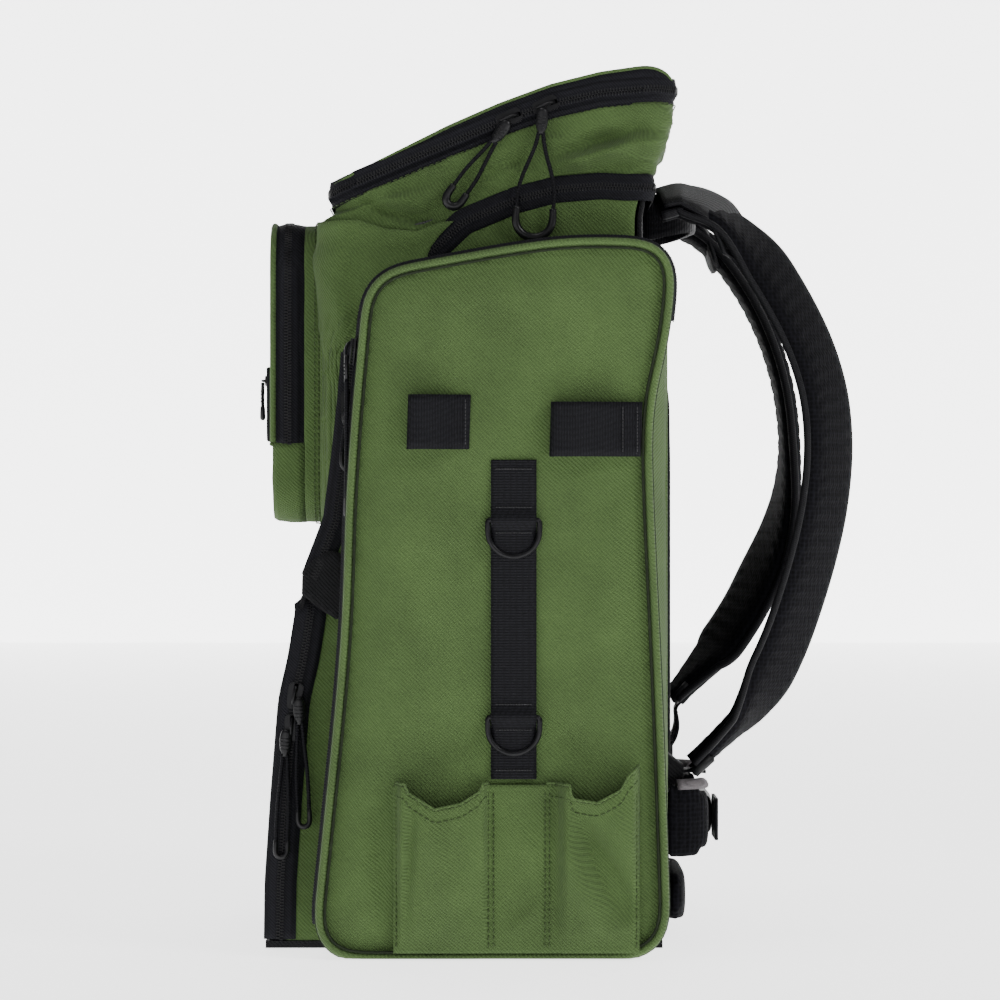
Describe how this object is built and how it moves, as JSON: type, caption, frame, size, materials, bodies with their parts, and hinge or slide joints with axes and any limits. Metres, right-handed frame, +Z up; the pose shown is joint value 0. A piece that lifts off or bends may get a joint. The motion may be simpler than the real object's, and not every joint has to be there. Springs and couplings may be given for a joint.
{
  "type": "tackle backpack",
  "caption": "Fishing backpack with zipped top, front, lower and side compartments, rod loops, D-rings, padded shoulder straps and a buckled hip belt.",
  "frame": {"origin": "centre of the base, on the surface the pack stands on", "axes": "+Z up, +Y towards the wearer's back, +X towards the wearer's right hand side"},
  "size_m": [0.3786, 0.3386, 0.4963],
  "materials": {
    "green_fabric": "matt coated polyester twill",
    "black_fabric": "matt woven polyester",
    "strap_mesh": "matt spacer mesh with bound edges",
    "net": "open net",
    "webbing": "ribbed woven webbing",
    "frame_plastic": "matt sheet",
    "buckle_plastic": "moulded acetal",
    "black_metal": "black lacquer",
    "pull_rubber": "semi-gloss moulding"
  },
  "bodies": {
    "bag_body": {"bottom_panel": "black_fabric", "back_panel": "black_fabric", "divider_shelf": "green_fabric", "frame_sheet": "frame_plastic", "side_wall_right": "green_fabric", "side_wall_left": "green_fabric", "side_gusset_right": "green_fabric", "side_gusset_left": "green_fabric", "shoulder_strap_right": "strap_mesh", "shoulder_strap_left": "strap_mesh", "strap_webbing_right": "webbing", "strap_webbing_left": "webbing", "ladder_lock_right": "buckle_plastic", "ladder_lock_left": "buckle_plastic", "grab_handle": "webbing", "lumbar_pad": "black_fabric", "hip_wing_right": "black_fabric", "hip_wing_left": "black_fabric", "buckle_socket": "buckle_plastic"},
    "main_flap": {"flap_front_panel": "green_fabric", "top_box": "green_fabric", "upper_pocket_base": "green_fabric"},
    "upper_pocket_door": {"upper_pocket_door": "green_fabric", "mesh_pocket": "net"},
    "top_lid": {"top_lid": "green_fabric"},
    "lower_door": {"lower_door": "black_fabric"},
    "buckle_plug": {"buckle_plug": "buckle_plastic"},
    "side_door_right": {"side_door_right": "green_fabric", "slip_pockets_right": "green_fabric", "webbing_strip_right": "webbing", "loop_front_right": "webbing", "loop_back_right": "webbing"},
    "side_door_left": {"side_door_left": "green_fabric", "slip_pockets_left": "green_fabric", "webbing_strip_left": "webbing", "loop_front_left": "webbing", "loop_back_left": "webbing"},
    "d_ring_upper_right": {"d_ring_upper_right": "black_metal"},
    "d_ring_upper_left": {"d_ring_upper_left": "black_metal"},
    "d_ring_lower_right": {"d_ring_lower_right": "black_metal"},
    "d_ring_lower_left": {"d_ring_lower_left": "black_metal"},
    "slider_lid_rear": {"slider_lid_rear": "black_metal"},
    "pull_lid_rear": {"pull_lid_rear": "pull_rubber"},
    "slider_lid_front": {"slider_lid_front": "black_metal"},
    "pull_lid_front": {"pull_lid_front": "pull_rubber"},
    "slider_main_right": {"slider_main_right": "black_metal"},
    "pull_main_right": {"pull_main_right": "pull_rubber"},
    "slider_main_left": {"slider_main_left": "black_metal"},
    "pull_main_left": {"pull_main_left": "pull_rubber"},
    "slider_side_right": {"slider_side_right": "black_metal"},
    "pull_side_right": {"pull_side_right": "pull_rubber"},
    "slider_side_left": {"slider_side_left": "black_metal"},
    "pull_side_left": {"pull_side_left": "pull_rubber"},
    "slider_lower_upper": {"slider_lower_upper": "black_metal"},
    "pull_lower_upper": {"pull_lower_upper": "pull_rubber"},
    "slider_lower_lower": {"slider_lower_lower": "black_metal"},
    "pull_lower_lower": {"pull_lower_lower": "pull_rubber"},
    "slider_mesh": {"slider_mesh": "black_metal"},
    "pull_mesh": {"pull_mesh": "pull_rubber"}
  },
  "joints": [
    {"name": "main_flap_hinge", "type": "hinge", "parent": "bag_body", "child": "main_flap", "pos_m": [0, -0.0918, 0.2085], "axis": [1, 0, 0], "range_deg": [0, 90]},
    {"name": "top_lid_hinge", "type": "hinge", "parent": "main_flap", "child": "top_lid", "pos_m": [0, 0.1173, 0.4834], "axis": [-1, 0, 0], "range_deg": [0, 110]},
    {"name": "upper_pocket_hinge", "type": "hinge", "parent": "main_flap", "child": "upper_pocket_door", "pos_m": [0, -0.1122, 0.2837], "axis": [1, 0, 0], "range_deg": [0, 95]},
    {"name": "lower_door_hinge", "type": "hinge", "parent": "bag_body", "child": "lower_door", "pos_m": [0, -0.1137, 0.006], "axis": [1, 0, 0], "range_deg": [0, 90]},
    {"name": "side_door_right_hinge", "type": "hinge", "parent": "bag_body", "child": "side_door_right", "pos_m": [0.1783, 0.1116, 0.2], "axis": [0, 0, 1], "range_deg": [0, 90]},
    {"name": "side_door_left_hinge", "type": "hinge", "parent": "bag_body", "child": "side_door_left", "pos_m": [-0.1783, 0.1116, 0.2], "axis": [0, 0, -1], "range_deg": [0, 90]},
    {"name": "d_ring_upper_right_hinge", "type": "hinge", "parent": "side_door_right", "child": "d_ring_upper_right", "pos_m": [0.1827, 0.026, 0.241], "axis": [0, -1, 0], "range_deg": [0, 150]},
    {"name": "d_ring_upper_left_hinge", "type": "hinge", "parent": "side_door_left", "child": "d_ring_upper_left", "pos_m": [-0.1827, 0.026, 0.241], "axis": [0, 1, 0], "range_deg": [0, 150]},
    {"name": "d_ring_lower_right_hinge", "type": "hinge", "parent": "side_door_right", "child": "d_ring_lower_right", "pos_m": [0.1827, 0.026, 0.133], "axis": [0, -1, 0], "range_deg": [0, 150]},
    {"name": "d_ring_lower_left_hinge", "type": "hinge", "parent": "side_door_left", "child": "d_ring_lower_left", "pos_m": [-0.1827, 0.026, 0.133], "axis": [0, 1, 0], "range_deg": [0, 150]},
    {"name": "buckle_release", "type": "slide", "parent": "bag_body", "child": "buckle_plug", "axis": [1, 0, 0], "range_m": [0, 0.03]},
    {"name": "slider_lid_rear_travel", "type": "slide", "parent": "main_flap", "child": "slider_lid_rear", "axis": [0, 0.9438, 0.3305], "range_m": [0, 0.04]},
    {"name": "pull_lid_rear_swing", "type": "hinge", "parent": "slider_lid_rear", "child": "pull_lid_rear", "pos_m": [0.1259, 0.0425, 0.4709], "axis": [0, -0.9438, -0.3305], "range_deg": [0, 120]},
    {"name": "slider_lid_front_travel", "type": "slide", "parent": "main_flap", "child": "slider_lid_front", "axis": [0, 0.9438, 0.3305], "range_m": [-0.04, 0]},
    {"name": "pull_lid_front_swing", "type": "hinge", "parent": "slider_lid_front", "child": "pull_lid_front", "pos_m": [0.1259, 0.0225, 0.4638], "axis": [0, -0.8191, 0.5736], "range_deg": [0, 120]},
    {"name": "slider_main_right_travel", "type": "slide", "parent": "bag_body", "child": "slider_main_right", "axis": [0, 0.0924, 0.9957], "range_m": [-0.03, 0]},
    {"name": "pull_main_right_swing", "type": "hinge", "parent": "slider_main_right", "child": "pull_main_right", "pos_m": [0.1259, -0.067, 0.303], "axis": [0, -1, 0], "range_deg": [0, 120]},
    {"name": "slider_main_left_travel", "type": "slide", "parent": "bag_body", "child": "slider_main_left", "axis": [0, 0.0924, 0.9957], "range_m": [-0.03, 0]},
    {"name": "pull_main_left_swing", "type": "hinge", "parent": "slider_main_left", "child": "pull_main_left", "pos_m": [-0.1259, -0.067, 0.303], "axis": [0, 1, 0], "range_deg": [0, 120]},
    {"name": "slider_side_right_travel", "type": "slide", "parent": "bag_body", "child": "slider_side_right", "axis": [0, 0.0993, 0.9951], "range_m": [-0.04, 0]},
    {"name": "pull_side_right_swing", "type": "hinge", "parent": "slider_side_right", "child": "pull_side_right", "pos_m": [0.168, -0.0661, 0.331], "axis": [-1, 0, 0], "range_deg": [0, 120]},
    {"name": "slider_side_left_travel", "type": "slide", "parent": "bag_body", "child": "slider_side_left", "axis": [0, 0.0993, 0.9951], "range_m": [-0.04, 0]},
    {"name": "pull_side_left_swing", "type": "hinge", "parent": "slider_side_left", "child": "pull_side_left", "pos_m": [-0.168, -0.0661, 0.331], "axis": [-1, 0, 0], "range_deg": [0, 120]},
    {"name": "slider_lower_upper_travel", "type": "slide", "parent": "bag_body", "child": "slider_lower_upper", "axis": [0, 0.2079, 0.9781], "range_m": [0, 0.03]},
    {"name": "pull_lower_upper_swing", "type": "hinge", "parent": "slider_lower_upper", "child": "pull_lower_upper", "pos_m": [0.1259, -0.0945, 0.14], "axis": [0, -1, 0], "range_deg": [0, 120]},
    {"name": "slider_lower_lower_travel", "type": "slide", "parent": "bag_body", "child": "slider_lower_lower", "axis": [0, 0.0785, 0.9969], "range_m": [-0.03, 0]},
    {"name": "pull_lower_lower_swing", "type": "hinge", "parent": "slider_lower_lower", "child": "pull_lower_lower", "pos_m": [0.1259, -0.1016, 0.122], "axis": [0, -1, 0], "range_deg": [0, 120]},
    {"name": "slider_mesh_travel", "type": "slide", "parent": "upper_pocket_door", "child": "slider_mesh", "axis": [-1, 0, 0], "range_m": [0, 0.04]},
    {"name": "pull_mesh_swing", "type": "hinge", "parent": "slider_mesh", "child": "pull_mesh", "pos_m": [0.05, -0.11893, 0.319], "axis": [-1, 0, 0], "range_deg": [0, 120]}
  ]
}
